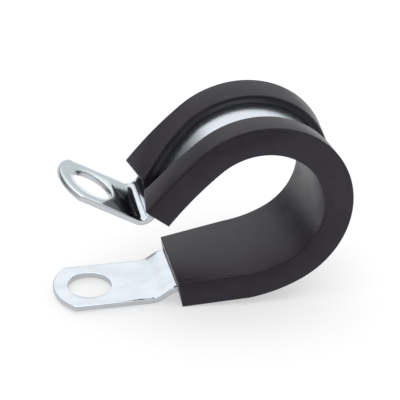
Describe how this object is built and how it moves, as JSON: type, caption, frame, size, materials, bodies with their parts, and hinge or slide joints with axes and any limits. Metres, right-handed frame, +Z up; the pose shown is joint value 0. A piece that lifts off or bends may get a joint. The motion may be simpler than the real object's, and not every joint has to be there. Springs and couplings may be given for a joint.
{
  "type": "p clip",
  "caption": "Rubber lined P clip that holds a cable, hose or pipe and bolts down through the holes in its two tabs.",
  "frame": {"origin": "middle of the object's box in plan, at its lowest point, the rubber's outer corner at the lower cut", "axes": "+X from the tabs towards the loop, Y along the clip's width, +Z up from the panel, square to the lower tab"},
  "size_m": [0.0598, 0.0214, 0.0411],
  "materials": {
    "zinc_steel": "bright zinc plated strip steel, fine rolling marks",
    "black_rubber": "matte black extruded rubber"
  },
  "bodies": {
    "root": {"steel_band": "zinc_steel", "rubber_liner": "black_rubber"}
  },
  "joints": []
}
